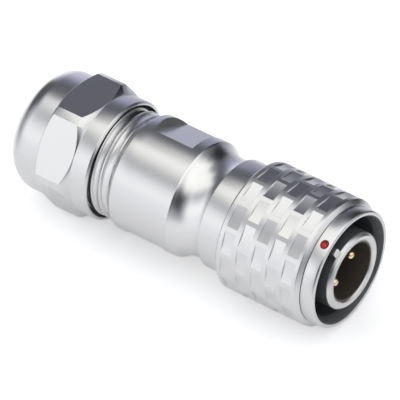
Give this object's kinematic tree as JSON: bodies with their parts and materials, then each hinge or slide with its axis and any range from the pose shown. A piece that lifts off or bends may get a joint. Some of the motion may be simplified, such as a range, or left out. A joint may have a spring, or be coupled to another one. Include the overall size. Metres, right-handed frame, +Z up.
{
  "type": "push-pull circular connector plug",
  "caption": "Straight metal circular cable plug: keyed socket with contact pins, brick-knurled sliding release sleeve, coved back shell with wrench flats and a hexagonal gland nut.",
  "frame": {"origin": "on the axis, in the plane of the front collar's rim", "axes": "+X along the axis out of the mating face, +Z up, with the gland nut lying on one of its flats"},
  "size_m": [0.0537, 0.02, 0.019],
  "materials": {
    "shell_metal": "satin chrome plate on turned brass",
    "sleeve_metal": "satin chrome plate, milled facets",
    "nut_metal": "satin chrome plate on a turned hexagon",
    "inner_metal": "satin nickel plate",
    "red_enamel": "glossy red enamel",
    "black_plastic": "black, satin",
    "insulator_plastic": "dark brown-black, satin",
    "gold": "gold plate, polished",
    "seal_rubber": "black rubber",
    "ball_steel": "polished steel",
    "spring_steel": "drawn spring steel",
    "collet_plastic": "natural plastic"
  },
  "bodies": {
    "plug_body": {"plug_shell": "shell_metal", "index_dot": "red_enamel", "mouth_liner": "black_plastic", "key_shell": "inner_metal", "insulator": "insulator_plastic", "rear_insulator": "insulator_plastic", "contact_pin_1": "gold", "contact_pin_2": "gold", "contact_pin_3": "gold", "face_seal": "seal_rubber", "insert_retainer": "inner_metal", "lock_ball_1": "ball_steel", "lock_ball_2": "ball_steel", "lock_ball_3": "ball_steel", "lock_ball_4": "ball_steel", "spring_stop_ring": "spring_steel", "return_spring": "spring_steel", "shell_o_ring": "seal_rubber", "back_shell": "shell_metal", "cable_grommet": "seal_rubber", "clamp_collet": "collet_plastic"},
    "sleeve": {"release_sleeve": "sleeve_metal", "sleeve_end_ring": "inner_metal"},
    "washer": {"thrust_washer": "inner_metal"},
    "nut": {"gland_nut": "nut_metal"}
  },
  "joints": [
    {"name": "sleeve_slide", "type": "slide", "parent": "plug_body", "child": "sleeve", "axis": [-1, 0, 0], "range_m": [0, 0.002], "stiffness_N_per_m": 1500, "springref_m": -0.002, "deforming": ["return_spring"]},
    {"name": "washer_slide", "type": "slide", "parent": "plug_body", "child": "washer", "axis": [-1, 0, 0], "range_m": [0, 0.00402]},
    {"name": "nut_turn", "type": "hinge", "parent": "washer", "child": "nut", "pos_m": [-0.045, 0, 0], "axis": [-1, 0, 0], "range_deg": [0, 960]}
  ],
  "couplings": [
    {"joint": "washer_slide", "follows": "nut_turn", "m_per_rad": 0.00023873}
  ]
}
